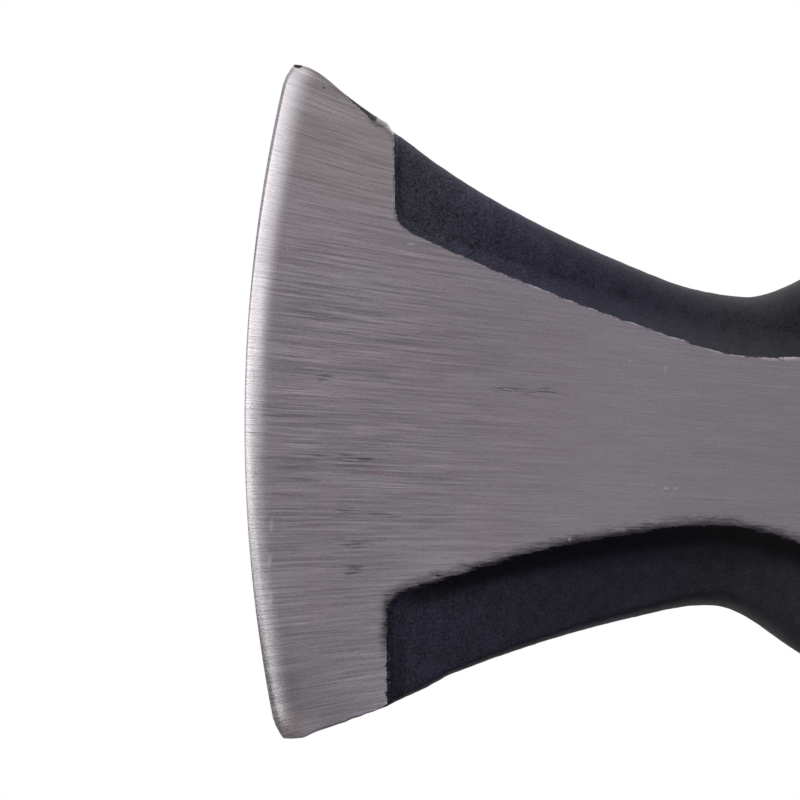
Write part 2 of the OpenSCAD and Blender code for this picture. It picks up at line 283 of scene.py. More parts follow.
# ---- the forged head
# q numbers the head's stations, which lean and bulge near the edge, by their distance from it.
# z is the distance from the centre line towards an outline at top, up or down alike.
CAP = np.linspace(-1, 1, 12)[1:-1]  # shares of the half width across the crown and underside
HEAD_SHARP = 46  # degrees between faces that count as a sharp edge
CORNER = 0.9  # how far the two corners of the edge are rounded back
CORNER_RUN = 3.0
TILT, SET_BACK, BOW = 3.2, 6.6, 6  # how far the stations lean, lie back and bulge at the edge
EDGE_HALF = 0.1  # half thickness of the very edge
COAT_END = 104  # q where the bare cheek ends in the coat of the eye body
POLL_BARE = 195.6  # q where the bare poll face begins


def edge_u(height):
    """u of the curved cutting edge."""
    return EDGE_R - np.sqrt(EDGE_R**2 - (height - EDGE_Z) ** 2)


def tilt(q):
    return TILT * (1 - smooth((q - 15) / 45))


def set_back(q):
    return SET_BACK * (1 - smooth(q / 50))


def bow(q):
    return BOW * (1 - smooth(q / 18))


def corner_back(z, top):
    return CORNER * share(1 - (top - z) / CORNER_RUN) ** 2


def step_field(q, height):
    """How far inside the raised cheek a point is, in mm, negative on the sunk flanks, and how
    much of that is measured from the cheek's border rather than from the shoulder."""
    border = np.where(height > 0, curve(UPPER_CHEEK, q), curve(LOWER_CHEEK, q))
    within = (border - np.abs(height)) * 0.93
    shoulder = curve(SHOULDER_LINE, height) - q
    fillet = np.exp(-(((shoulder + 0.8) / 1.5) ** 2 + (within / 1.6) ** 2))
    inside = soft_max(shoulder, within, 2.2) + np.where(height > 0, 0.1, 0.35) * fillet
    return inside, smooth((within - shoulder) / 2 + 0.5)


def wedge_half(d, height):
    """Half thickness of the ground wedge a distance d behind the cutting edge, whose last few
    millimetres round over into the cheek."""
    reach = curve(BEVEL_REACH, height)
    bevel = np.tan(np.radians(curve(BEVEL_ANGLE, height)))
    fall = curve(BEVEL_FALL, height)
    edge = np.tan(np.radians(curve(EDGE_ANGLE, height)))
    x = share(d / reach)
    rounded = (bevel - CHEEK_SLOPE) * reach * (1 - (1 - x) ** (fall + 1)) / (fall + 1)
    return EDGE_HALF + (edge - bevel) * np.minimum(d, curve(BLUNT, height)) + CHEEK_SLOPE * d + rounded


def side_half(q, u, z, height, top):
    """Half thickness of the wedge and the body, before the flanks are sunk."""
    behind = u - edge_u(height) - corner_back(z, top) * (1 - smooth(q / 4))
    d = np.maximum(mix(behind, u, smooth(q / 60)), 0)
    wedge = soft_min(wedge_half(d, height), BODY_W / 2, 1.6)
    return np.where(q < JOIN_U, wedge, np.minimum(curve(SIDE, q), BODY_W / 2))


def outline_rounding(q, height):
    """The radius that rounds the outline over, and the share of thickness left at its end."""
    ear = 1 - share((q - SHOULDER_U) / 0.9)
    radius = mix(np.where(height > 0, curve(UPPER_ROUND, q), curve(LOWER_ROUND, q)),
                 np.where(height > 0, curve(EAR_ROUND, q), LOWER_EAR_ROUND), ear)
    crest = mix(curve(CREST, q), curve(EAR_CREST, q), ear)
    return radius, np.where((height < 0) & (q < SHOULDER_U), LOWER_EAR_CREST, crest)


def half_thickness(q, u, z, height, top):
    deep = curve(FLANK, q)
    inside, sideways = step_field(q, height)
    run = mix(0.45, 0.45 + np.where(height > 0, 0.62, 0.85) * deep, sideways)
    slope = share(-inside / run)
    flank = side_half(q, u, z, height, top) - deep * (1 - (1 - slope) ** 1.6)
    radius, crest = outline_rounding(q, height)
    x = share((top - z) / radius)
    return flank * (crest + (1 - crest) * np.sqrt(1 - (1 - x) ** 2))


def head_stations():
    """Stations from the edge to the poll face, closer together where the shape changes fast."""
    spans = [(0, 0.6, 5), (0.6, 4, 14), (4, SHOULDER_U - 0.8, 25), (SHOULDER_U - 0.8, SHOULDER_U + 1.6, 15),
             (SHOULDER_U + 1.6, 70, 100), (70, 106, 46), (106, JOIN_U, 24), (JOIN_U, 174, 20),
             (174, 194.6, 12)]
    parts = [np.linspace(*span) for span in spans]
    parts.append(np.array([195.0, 195.3, 195.7, 196.5, 197.2, 197.6, 197.9, 198.0]))
    return np.unique(np.concatenate(parts).round(4))


def head_heights(q, top, up):
    """Heights of each station's points from the centre line to the outline, (stations, rows)."""
    cheek = np.minimum(curve(UPPER_CHEEK if up else LOWER_CHEEK, q), top * 0.66)
    rounding = curve(UPPER_ROUND if up else LOWER_ROUND, q)
    radius = np.where(q < SHOULDER_U + 0.5, curve(EAR_ROUND, q), rounding)
    foot = np.minimum(cheek + 0.9 + 0.7 * curve(FLANK, q), top - radius - 0.3)
    border, foot, crest = (cheek - 0.9)[:, None], foot[:, None], (top - radius)[:, None]
    steps = np.linspace(0, 1, 15)[None, 1:]
    arc = np.sin(np.linspace(0, math.pi / 2, 11))[None, 1:]
    rows = [border * np.linspace(0, 1, 40), mix(border, foot, steps), mix(foot, crest, steps),
            top[:, None] - radius[:, None] * (1 - arc)]
    return np.concatenate(rows, axis=1)


def outline(q, up):
    """Height of the outline above or below the centre line, with the lower ear's filed waves."""
    end_u = q + set_back(q) + (-tilt(q) if up else tilt(q))
    if up:
        return curve(UPPER, end_u)
    ear = smooth((end_u - 10) / 2) * smooth((23.6 - end_u) / 1.5)
    waves = value_noise(np.stack([end_u * 1.1, 0 * q, 0 * q], 1), 5)
    return curve(LOWER, end_u) - ear * 0.16 * waves


def head_half(q, up):
    """Right-hand points of the upper or lower half, as u, height, width, station and inset."""
    turn = 1 if up else -1
    top = outline(q, up)
    z = head_heights(q, top, up)
    q = np.broadcast_to(q[:, None], z.shape)
    top = np.broadcast_to(top[:, None], z.shape)
    t = turn * z / top
    straight = mix(q + set_back(q) + tilt(q), q + set_back(q) - tilt(q), (t + 1) / 2)
    straight = straight - bow(q) * (1 - t**2)
    height = turn * z
    curved = edge_u(height) + q + corner_back(z, top)
    u = mix(curved, straight, smooth(q / 12))
    w = half_thickness(q, u, z, height, top)
    chamfer = curve(CHAMFER, q)
    height = height * (top - chamfer) / top
    return u + 0.03 * (1 - share(q / 5)), height, w - chamfer, q, top - z


def mask_field(q, u, height, inset):
    """How far inside the bare ground steel a point is, in mm, negative on the black coat."""
    field = step_field(q, height)[0]
    ear = inset - np.where(height > 0, curve(UPPER_SLIVER, q), curve(LOWER_SLIVER, q))
    field = np.where(q < SHOULDER_U - 0.2, soft_min(field, np.where(q < 5.5, 5, ear), 0.15), field)
    field = soft_min(field, COAT_END - q - (height / 10) ** 2 * 4, 5)
    chip = np.exp(-((u - 3.85) / 0.55) ** 2 - ((height - 47.4) / 0.26) ** 2)
    return np.maximum(field - chip * 14, q - POLL_BARE)


def ragged_field(q, height, inset):
    """How much the coat's border wanders, in mm, less along the outline of the ears."""
    wander = np.where(height < 0, curve(LOWER_RAGGED, q), curve(UPPER_RAGGED, q))
    by_outline = mix(np.where(height > 0, 0.45, 0.15), 1, smooth(inset / 2.5))
    return wander * np.where(q < SHOULDER_U, by_outline, 1)


def roughened(points, q, ground):
    """The head's points with the forging's waviness and the coat's pimples."""
    points = points.copy()
    wander = value_noise(points / 9, 3) * 0.7 + value_noise(points / 3.1, 4) * 0.3
    coat = smooth(-ground / 3) * smooth((q - 30) / 20)
    y = points[:, 1]
    y -= np.sign(y) * np.minimum(np.abs(y) * 0.02, 0.35) * wander * coat
    pimples = value_noise(points / 0.9, 7) ** 2 * 0.13 * smooth(-ground / 0.8) * smooth((q - 17) / 2)
    outwards = points - np.array([0.0, 0.0, BODY_Z])
    outwards[:, 0] = 0
    reach = np.maximum(np.linalg.norm(outwards, axis=1), 1)
    return points - outwards / reach[:, None] * pimples[:, None]


def cap(half, column, across):
    """Points across the outline at one column of the head's right half, all of them inset by 0."""
    u, height, w, q, _ = (values[:, [column]] for values in half)
    ones = np.ones(len(across))
    return u * ones, height * ones, w * across, q * ones, 0 * q * ones


def end_faces(base, rows, flipped):
    """Strips that close one end of the head, whose ring starts at base, with rows points a side."""
    across = len(CAP)
    left = [base + 2 * rows + across - 1 - j for j in range(rows)]
    crown = [base + rows + across - 1 - j for j in range(across)]
    foot = [base + 2 * rows + 2 * across - 1 - j for j in range(across)]
    faces = [(base + j, left[j], left[j + 1], base + j + 1) for j in range(1, rows - 2)]
    faces.append((base, *foot, left[0], left[1], base + 1))
    faces.append((base + rows - 2, left[-2], left[-1], *crown, base + rows - 1))
    return [face[::-1] for face in faces] if flipped else faces


def build_head():
    q = head_stations()
    right = [np.concatenate([low[:, :0:-1], high], axis=1)
             for low, high in zip(head_half(q, False), head_half(q, True))]
    rows = right[0].shape[1]
    u, height, w, q, inset = right
    left = [values[:, ::-1] for values in (u, height, -w, q, inset)]
    rings = zip(right, cap(right, -1, -CAP), left, cap(right, 0, CAP))
    u, height, y, q, inset = (np.concatenate(ring, axis=1) for ring in rings)
    stations, count = u.shape
    faces = tube_faces(stations, count, False)
    faces += end_faces(0, rows, False) + end_faces((stations - 1) * count, rows, True)
    ground = mask_field(q, u, height, inset).reshape(-1)
    points = np.stack([u - EYE_U, y, height + BODY_Z], axis=2).reshape(-1, 3)
    points = roughened(points, q.reshape(-1), ground)
    head = new_object("forged_head", points, faces, HEAD_SHARP)
    add_field(head, "ground", ground)
    add_field(head, "ragged", ragged_field(q, height, inset))
    add_field(head, "behind_edge", u - edge_u(height))
    return head


def add_field(obj, name, values):
    """Stores a number per point, which the materials read."""
    attribute = obj.data.attributes.new(name, "FLOAT", "POINT")
    attribute.data.foreach_set("value", values.reshape(-1).astype(np.float32))


# ---- the eye and the handle
OVAL_POWER = 2.5
OVAL_POINTS = 96
HANDLE_SHARP = 50


def oval(a, b, z, lean=0.0):
    angle = (np.arange(OVAL_POINTS) + 0.5) * 2 * math.pi / OVAL_POINTS
    c, s = np.cos(angle), np.sin(angle)
    p = 2 / OVAL_POWER
    x = a * np.sign(c) * np.abs(c) ** p - lean
    y = b * np.sign(s) * np.abs(s) ** p
    return np.stack([x, y, np.full(OVAL_POINTS, float(z))], axis=1)


def eye_ring(z, out=0.0):
    flare = EYE_FLARE * (z - UNDER_Z) / BODY_H / 2
    return oval(EYE_LEN / 2 + flare + out, EYE_WID / 2 + flare + out, z)


def cut_eye(head):
    """Opens the eye, with rounded rims, and marks its walls as coated."""
    stations = [(UNDER_Z - 2, 2 + EYE_RIM), (UNDER_Z - 0.01, EYE_RIM), (UNDER_Z + EYE_RIM, 0),
                (CROWN_Z - EYE_RIM, 0), (CROWN_Z + 0.01, EYE_RIM), (CROWN_Z + 2, 2 + EYE_RIM)]
    carve(head, skin("eye_cutter", [eye_ring(z, out) for z, out in stations]), sharp_angle=HEAD_SHARP)
    points = np.zeros(len(head.data.vertices) * 3)
    head.data.vertices.foreach_get("co", points)
    x, y, _ = points.reshape(-1, 3).T / MM
    ground = head.data.attributes["ground"].data
    values = np.zeros(len(ground), np.float32)
    ground.foreach_get("value", values)
    by_eye = (np.abs(x) < 37) & (np.abs(y) < 19)
    ground.foreach_set("value", np.where(by_eye, -6, values).astype(np.float32))


def column_knots(column):
    """Knots of one column of HANDLE, with the slope between each row's neighbours."""
    knots = []
    for i, row in enumerate(HANDLE):
        before, after = HANDLE[max(i - 1, 0)], HANDLE[min(i + 1, len(HANDLE) - 1)]
        slope = 0 if i == 0 else (after[column] - before[column]) / (after[0] - before[0])
        knots.append((row[0], row[column], slope))
    return knots


HALF_LEN, HALF_WID, LEAN = (column_knots(column) for column in (1, 2, 3))


def handle_ring(z, out=0.0):
    return oval(float(curve(HALF_LEN, z)) + out, float(curve(HALF_WID, z)) + out, z, float(curve(LEAN, z)))


def kerf_outline(out, top):
    """The kerf's (y, z) outline, wider by out on each side and higher than the wood by top."""
    grow = (KERF_TOP - KERF_TIP) / 2 / KERF_DEPTH
    half = KERF_TIP / 2 + out
    top_half = half + grow * (KERF_DEPTH + top)
    return [(-half, KERF_Z), (half, KERF_Z), (top_half, WOOD_TOP + top), (-top_half, WOOD_TOP + top)]


def ring_groove(name):
    inner = RING_R - RING_WALL
    profile = [(RING_R - RING_WALL * 0.6 - 0.1, RING_Z), (RING_R - RING_WALL * 0.4, RING_Z),
               (RING_R + 0.1, WOOD_TOP + 1), (inner - 0.1, WOOD_TOP + 1)]
    return lathe(name, profile)


def hang_hole():
    flared = [(8, -30), (8, -19), (4.5, -15.2), (4.5, 15.2), (8, 19), (8, 30)]
    profile = [(0.001, -30), *flared, (0.001, 30)]
    return lathe("hang_cut", profile, "Y", 48, (HANG_X, 0, HANG_Z))


def build_handle():
    heights = [np.linspace(0, 6, 13), np.linspace(6, 130, 63), np.linspace(130, 640, 86),
               np.linspace(640, COLLAR_TOP, 26)]
    rings = [handle_ring(z) for z in np.unique(np.concatenate(heights))]
    rings += [eye_ring(UNDER_Z), eye_ring(CROWN_Z - 8), eye_ring(CROWN_Z), eye_ring(WOOD_TOP - 0.7),
              eye_ring(WOOD_TOP - 0.2, -0.25), eye_ring(WOOD_TOP, -0.8)]
    handle = skin("hickory_handle", rings, HANDLE_SHARP)
    carve(handle, prism("kerf_cut", kerf_outline(0.05, 5), -PAST_WOOD, PAST_WOOD))
    carve(handle, ring_groove("ring_cut"))
    carve(handle, hang_hole(), sharp_angle=HANDLE_SHARP)
    return handle


# ---- wedges and collar
def build_kerf_wedge():
    proud, gap = 0.35, 0.1
    kerf = prism("hardwood_wedge", kerf_outline(0, proud), -PAST_WOOD, PAST_WOOD)
    eye_body = skin("eye_body", [eye_ring(z, -gap) for z in (KERF_Z, CROWN_Z, WOOD_TOP + proud)])
    carve(kerf, eye_body, "INTERSECT")
    bevel = kerf.modifiers.new("ease", "BEVEL")
    bevel.width = 0.22 * MM
    bevel.segments = 2
    bevel.limit_method = "ANGLE"
    apply_modifiers(kerf)
    carve(kerf, ring_groove("ring_cut_two"))
    return kerf


def build_ring_wedge():
    inner = RING_R - RING_WALL
    profile = [(RING_R - RING_WALL * 0.6, RING_Z), (RING_R - RING_WALL * 0.4, RING_Z),
               (RING_R - 0.05, WOOD_TOP - 0.7), (RING_R - 0.12, WOOD_TOP - 0.3),
               (RING_R - 0.4, WOOD_TOP - 0.05), (inner + 0.5, WOOD_TOP - 0.05),
               (inner + 0.15, WOOD_TOP - 0.3), (inner + 0.03, WOOD_TOP - 0.7)]
    return lathe("steel_ring_wedge", profile, sharp_angle=50)


def build_collar():
    """A sleeve round the handle, with a rolled lip at its foot and an open seam."""
    low, high = COLLAR_BOTTOM, COLLAR_TOP
    lip = [(0.5, 0), (0.85, 0.35), (0.88, 0.8), (0.7, 1.4), (0.35, 2.1), (0.1, 2.8), (0, 3.6)]
    wall = [(COLLAR_T + out, low + up) for out, up in lip]
    wall += [(COLLAR_T, z) for z in np.linspace(low + 5, high - 0.6, 24)]
    wall += [(COLLAR_T - 0.1, high - 0.2), (COLLAR_T - 0.4, high), (0.3, high), (0.05, high - 0.3)]
    wall += [(0.02, z) for z in np.linspace(high - 1, low + 1, 10)]
    wall.append((0.2, low))
    rings = [handle_ring(z, out) for out, z in wall]
    faces = tube_faces(len(rings), OVAL_POINTS, True)
    collar = new_object("steel_collar", np.concatenate(rings), faces, 50)
    turn_outward(collar)
    half_seam = 0.25
    seam = [(-half_seam, low - 2), (half_seam, low - 2), (half_seam, high + 2), (-half_seam, high + 2)]
    carve(collar, prism("seam_cut", seam, 20, 60), sharp_angle=50)
    return collar


# ---- nodes
class Nodes:
    """A node tree. Every method that makes a value returns its output socket."""

    def __init__(self, tree):
        self.tree = tree
        self.tree.nodes.clear()

    def node(self, kind):
        return self.tree.nodes.new("ShaderNode" + kind)

    def put(self, socket, value):
        """Links value to the socket if it is an output, and sets it otherwise."""
        if isinstance(value, bpy.types.NodeSocket):
            self.tree.links.new(value, socket)
        else:
            socket.default_value = value

    def fill(self, n, keys, values):
        """Puts values into the node's inputs, and returns its outputs."""
        for key, value in zip(keys, values):
            self.put(n.inputs[key], value)
        return n.outputs

    def math(self, operation, a, b=0.0):
        n = self.node("Math")
        n.operation = operation
        return self.fill(n, (0, 1), (a, b))[0]

    def add(self, a, b):
        return self.math("ADD", a, b)

    def minus(self, a, b):
        return self.math("SUBTRACT", a, b)

    def times(self, a, b):
        return self.math("MULTIPLY", a, b)

    def larger(self, a, b):
        return self.math("MAXIMUM", a, b)

    def smaller(self, a, b):
        return self.math("MINIMUM", a, b)

    def one_plus(self, value, amount):
        return self.add(self.times(value, amount), 1.0)

    def centred(self, value, amount):
        """A noise value turned into one that runs evenly above and below 0."""
        return self.times(self.minus(value, 0.5), amount)

    def vector_math(self, operation, keys, values):
        n = self.node("VectorMath")
        n.operation = operation
        return self.fill(n, keys, values)

    def tint(self, vector, factor):
        """A colour or vector multiplied by a number."""
        return self.vector_math("SCALE", (0, "Scale"), (vector, factor))[0]

    def length(self, vector):
        return self.vector_math("LENGTH", (0,), (vector,))["Value"]

    def dot(self, a, b):
        return self.vector_math("DOT_PRODUCT", (0, 1), (a, b))["Value"]

    def split(self, vector):
        return self.fill(self.node("SeparateXYZ"), (0,), (vector,))

    def join(self, x, y, z):
        return self.fill(self.node("CombineXYZ"), (0, 1, 2), (x, y, z))[0]

    def band(self, value, low, high, to_low=0.0, to_high=1.0):
        """value from low to high becomes to_low to to_high, smoothly, level beyond."""
        n = self.node("MapRange")
        n.interpolation_type = "SMOOTHSTEP"
        names = ("Value", "From Min", "From Max", "To Min", "To Max")
        return self.fill(n, names, (value, low, high, to_low, to_high))[0]

    def span(self, value, start, full, fade, end):
        """1 while value is from full to fade, and 0 before start and after end."""
        return self.times(self.band(value, start, full), self.band(value, end, fade))

    def for_camera(self, seen, lighting):
        """A shader that the camera sees, and another for the light that it gives."""
        camera_ray = self.node("LightPath").outputs["Is Camera Ray"]
        return self.fill(self.node("MixShader"), (0, 1, 2), (camera_ray, lighting, seen))[0]


class Surface(Nodes):
    """A procedural material. place is the point in millimetres."""

    def __init__(self, name):
        self.material = bpy.data.materials.new(name)
        self.material.use_nodes = True
        super().__init__(self.material.node_tree)
        self.out = self.node("OutputMaterial")
        self.bsdf = self.node("BsdfPrincipled")
        self.put(self.out.inputs[0], self.bsdf.outputs[0])
        self.place = self.tint(self.node("TexCoord").outputs["Object"], 1 / MM)
        self.x, self.y, self.z = self.split(self.place)

    def noise(self, vector, scale=1.0, detail=2.0, rough=0.5):
        names = ("Vector", "Scale", "Detail", "Roughness")
        return self.fill(self.node("TexNoise"), names, (vector, scale, detail, rough))[0]

    def grain(self, per_x, per_y, per_z, detail=2.0, rough=0.5):
        """Noise with a fineness of its own along each axis."""
        x, y, z = self.times(self.x, per_x), self.times(self.y, per_y), self.times(self.z, per_z)
        return self.noise(self.join(x, y, z), 1, detail, rough)

    def cells(self, scale):
        """Distance to the middle of scattered cells."""
        return self.fill(self.node("TexVoronoi"), ("Vector", "Scale"), (self.place, scale))["Distance"]

    def field(self, name):
        """A number per point that the mesh carries."""
        n = self.node("Attribute")
        n.attribute_name = name
        return n.outputs["Fac"]

    def mix(self, factor, a, b):
        """From colour a to colour b."""
        n = self.node("Mix")
        n.data_type = "RGBA"
        a, b = ((*colour, 1) if isinstance(colour, tuple) else colour for colour in (a, b))
        return self.fill(n, (0, 6, 7), (factor, a, b))[2]

    def blend(self, factor, a, b):
        """From number a to number b."""
        return self.fill(self.node("Mix"), (0, 2, 3), (factor, a, b))[0]

    def bump(self, height, distance, strength):
        names = ("Height", "Distance", "Strength")
        return self.fill(self.node("Bump"), names, (height, distance * MM, strength))[0]

    def finish(self, base, metallic, roughness, normal=None, **constants):
        """Connects the shader. constants are its other inputs, the same all over the surface."""
        self.fill(self.bsdf, ("Base Color", "Metallic", "Roughness"), (base, metallic, roughness))
        if normal is not None:
            self.put(self.bsdf.inputs["Normal"], normal)
        for name, value in constants.items():
            self.bsdf.inputs[name.replace("_", " ")].default_value = value
        return self.material


# ---- the head's material
STEEL = (0.46, 0.408, 0.469)
WARM_STEEL = (0.466, 0.416, 0.456)
EDGE_STEEL = (0.49, 0.462, 0.488)
TIP_STEEL = (0.466, 0.412, 0.436)
BLUED_STEEL = (0.452, 0.424, 0.484)
COAT = (0.0345, 0.034, 0.058)
DULL_COAT = (0.037, 0.0365, 0.047)
COAT_SPECK = (0.12, 0.12, 0.14)
WORN_COAT = (0.09, 0.09, 0.088)
PALE = (0.9, 0.88, 0.9)
DARK = (0.03, 0.028, 0.03)
RUST = (0.42, 0.25, 0.22)
BROWN = (0.62, 0.46, 0.42)
COAT_SCRAP = (0.22, 0.23, 0.2)
GRIND_X = -114  # where the grinding lines' heights are counted
GRIND_RUN = 60  # how far behind that the lines keep fanning out
FAN_REACH = 45  # height beyond which the fan gets no steeper
SCRATCHED = [  # x, z, half length and half height of the patches of short dark scratches
    (-109, 786.5, 5, 0.7), (-109, 782.5, 2.2, 0.5), (-108.5, 779.5, 1.5, 0.7), (-103.2, 779.3, 2.8, 0.4),
    (-107.2, 774.9, 3.2, 0.8), (-106.3, 771.2, 3, 1.2), (-85, 797.9, 6, 0.8), (-112.5, 797, 1.6, 0.8),
]
BEFORE, BEYOND = (-2, -1), (900, 901)  # ends of a span that stays open
# Painted highlight where the amount is above 0 and painted shade where it is below, on the bare steel
PAINTED_LIGHT_SPANS = [  # amount, then where it starts, is full, fades and ends, in mm behind the edge and in height
    (0.13, (*BEFORE, 2.2, 3.4), (*BEFORE, 822, 834)),
    (0.06, (-0.3, 0.1, 0.4, 1.3), (764, 784, *BEYOND)),
    (0.28, (-0.3, 0.1, 0.4, 1.3), (764, 784, 786, 812)),
    (0.12, (0.2, 0.4, 0.7, 1), (774, 778, 786, 790)),
    (0.15, (0.6, 0.9, 1.1, 1.5), (762, 766, 772, 778)),
    (0.22, (0.6, 1, 1.3, 2), (*BEFORE, 760, 768)),
    (-0.25, (*BEFORE, 0.6, 1.1), (*BEFORE, 758, 768)),
    (0.1, (*BEFORE, *BEYOND), (*BEFORE, 764, 781)),
    (0.05, (*BEFORE, *BEYOND), (812, 826, *BEYOND)),
    (0.14, (0.7, 1.3, 1.5, 2.3), (796, 801, 808, 813)),
    (-0.12, (2, 2.5, 2.8, 3.4), (796, 801, 808, 813)),
    (-0.15, (1, 1.6, 2.6, 3.4), (764, 770, 784, 790)),
    (-0.13, (1.8, 2.6, 4, 6), (*BEFORE, 752, 770)),
    (-0.1, (3, 6, 9, 14), (*BEFORE, 751, 757)),
    (-0.1, (1.6, 2.2, 3.2, 4.5), (*BEFORE, 752, 758)),
]
MARKS = [  # x, z, half length, half height, colour and amount, on the photographed cheek
    (-65.3, 786.3, 0.35, 0.16, PALE, 0.7), (-64.1, 786.45, 0.2, 0.2, PALE, 0.6),
    (-77.7, 778.2, 0.22, 0.3, PALE, 0.4), (-71.7, 803, 0.2, 0.2, PALE, 0.5),
    (-66.8, 802.2, 0.12, 0.6, PALE, 0.4), (-102.6, 816.4, 0.6, 0.15, PALE, 0.4),
    (-116.35, 836.7, 0.18, 0.18, DARK, 0.7), (-73.6, 808.9, 0.3, 0.25, DARK, 0.8),
    (-104.8, 785, 1.5, 0.6, RUST, 0.3), (-106.6, 786.6, 1.3, 0.25, DARK, 0.35),
    (-113.4, 749.4, 1.6, 2.6, BROWN, 0.3), (-118.3, 776.4, 0.3, 1, PALE, 0.35),
    (-118.1, 771.6, 0.25, 1.2, PALE, 0.4), (-117.5, 766.4, 0.3, 1, PALE, 0.35),
    (-116.9, 761.8, 0.25, 0.9, PALE, 0.3), (-108, 833, 1.9, 1, COAT_SCRAP, 0.75),
    (-108.3, 832.1, 1.1, 0.12, DARK, 0.55),
]


def coat_layers(s, grit, blue):
    """Colour, roughness and height of a baked powder coat, sandier with grit."""
    grain = s.noise(s.place, 3.4, 3, 0.75)
    mottle = s.noise(s.place, 0.55, 3, 0.55)
    shade = s.add(s.add(s.centred(grain, grit), s.centred(mottle, 1)), 1)
    colour = s.tint(s.mix(blue, DULL_COAT, COAT), s.larger(shade, 0.1))
    speck = s.band(s.noise(s.place, 4.5, 1, 0.5), 0.72, 0.78)
    colour = s.mix(s.times(speck, 0.5), colour, COAT_SPECK)
    return colour, s.add(0.55, s.centred(grain, 0.5)), grain


def grinding_height(s):
    """Height of the grinding line through a point, since the lines fan out from the edge."""
    high = s.smaller(s.larger(s.minus(s.z, BODY_Z), -FAN_REACH), FAN_REACH)
    cube = s.times(s.times(high, high), high)
    slope = s.add(s.add(0.028, s.times(high, -0.0042)), s.times(cube, -2.0e-6))
    back = s.smaller(s.minus(s.x, GRIND_X), GRIND_RUN)
    return s.minus(s.z, s.times(back, slope))


def streaks(s, width, length, detail=2, rough=0.55, shift=0):
    """Noise drawn out along the grinding lines, in millimetres."""
    across = s.add(s.times(s.across, 1 / width), shift)
    return s.noise(s.join(across, s.times(s.x, 1 / length), s.side), 1, detail, rough)


def edge_grit(s):
    """Noise of the finer honing marks at the edge."""
    across = s.times(s.x, 1 / 0.24)
    return s.noise(s.join(across, s.times(s.z, 1 / 0.15), s.side), 1, 2, 0.7)


def off_centre(s, x, z, half_length, half_height):
    """Distance from a spot's middle, 1 on its outline."""
    across = s.times(s.minus(s.x, x), 1 / half_length)
    up = s.times(s.minus(s.z, z), 1 / half_height)
    return s.length(s.join(across, 0, up))


def bare_steel(s):
    """1 on ground steel and 0 on coat, with a torn border."""
    tears = s.centred(streaks(s, 0.55, 3.2, 3, 0.65), 2.6)
    crumbs = s.centred(s.noise(s.place, 2.6, 3, 0.6), 1.2)
    wander = s.times(s.field("ragged"), s.add(tears, crumbs))
    return s.band(s.add(s.ground, wander), -0.06, 0.1)


def dark_strokes(s):
    """Short dark scratches, closer together and darker where the wheel has scored the cheek."""
    scored = s.band(s.noise(s.place, 0.11, 3, 0.6), 0.56, 0.72, 0, 0.35)
    for spot in SCRATCHED:
        patch = s.times(s.band(off_centre(s, *spot), 1.6, 0.3), s.photo_side)
        scored = s.larger(scored, patch)
    by_coat = s.times(s.band(s.ground, 2.4, 0.3, 0, 0.8), s.under_cheek)
    scored = s.larger(scored, by_coat)
    strokes = streaks(s, 0.14, 3, 1, 0.5, 31.7)
    stroke = s.band(strokes, s.blend(scored, 0.7, 0.5), s.blend(scored, 0.8, 0.62))
    return s.times(stroke, s.blend(scored, 0.35, 1))


def grinding_level(s):
    """Lighter and darker grinding marks, above and below 0, stronger near the edge."""
    off_middle = s.math("ABSOLUTE", s.minus(s.z, 794))
    nearer = s.times(s.band(s.behind, 52, 6, 0.22, 1), s.band(off_middle, 28, 12, 0.8, 1.2))
    lines = s.add(s.centred(s.fine, 1.75), s.centred(s.medium, 0.22))
    broad = s.add(s.centred(streaks(s, 4, 40), 0.14), s.centred(s.speckle, 0.4))
    return s.add(s.times(s.add(lines, broad), nearer), s.times(s.centred(s.grit, 1.5), s.hone))


def painted_steel_light(s):
    """Painted highlight and painted shade on the steel along the bevel, at the lower tip and at the ends
    and back of the cheek.
    """
    tip_highlight = s.times(s.band(s.z, 752.5, 748.5), s.band(s.x, -107, -111, 0, 0.45))
    painted_light = s.add(s.band(s.x, -92, -68, 0, 0.11), tip_highlight)
    for amount, distances, heights in PAINTED_LIGHT_SPANS:
        area = s.times(s.span(s.behind, *distances), s.span(s.z, *heights))
        painted_light = s.add(painted_light, s.times(area, amount))
    return painted_light


def steel_shade(s):
    shade = s.times(s.add(s.level, 1), s.one_plus(s.stroke, -0.56))
    glint = s.band(streaks(s, 0.2, 9, 1, 0.5, 77.3), 0.68, 0.8)
    shade = s.times(shade, s.one_plus(glint, 0.28))
    shade = s.times(shade, s.add(painted_steel_light(s), 1))
    # The steel is darkened along the coat's border below the cheek, in streaks.
    border_streaks = s.centred(streaks(s, 0.3, 2, 3, 0.65, 11), 3)
    darker_by_border = s.times(s.band(s.add(s.ground, border_streaks), 1.6, -0.1), s.under_cheek)
    shade = s.times(shade, s.one_plus(darker_by_border, -0.72))
    dull = s.add(s.times(s.dents, -0.25), -0.1)
    return s.times(shade, s.one_plus(s.struck, dull))


def steel_colour(s):
    warm = s.times(s.band(s.noise(s.place, 0.07, 2), 0.38, 0.6), s.band(s.behind, 70, 10))
    grey = s.mix(warm, STEEL, WARM_STEEL)
    grey = s.mix(s.band(s.z, 816, 828), grey, TIP_STEEL)
    blued = s.times(s.span(s.behind, 2.2, 3, 5, 6.8), s.span(s.z, 750, 757, 762, 782))
    grey = s.mix(blued, grey, BLUED_STEEL)
    grey = s.mix(s.band(s.behind, 3.8, 1.6), grey, EDGE_STEEL)
    colour = s.tint(grey, steel_shade(s))
    wobble = s.centred(s.noise(s.place, 3.1, 2, 0.7), 1.1)
    for *spot, mark_colour, amount in MARKS:
        mark = s.band(s.add(off_centre(s, *spot), wobble), 1.15, 0.6, 0, amount)
        colour = s.mix(s.times(mark, s.photo_side), colour, mark_colour)
    return colour


def steel_roughness(s):
    scratched = s.add(s.times(s.stroke, 0.12), s.times(s.struck, 0.1))
    return s.add(s.add(0.27, s.times(s.level, 0.1)), scratched)


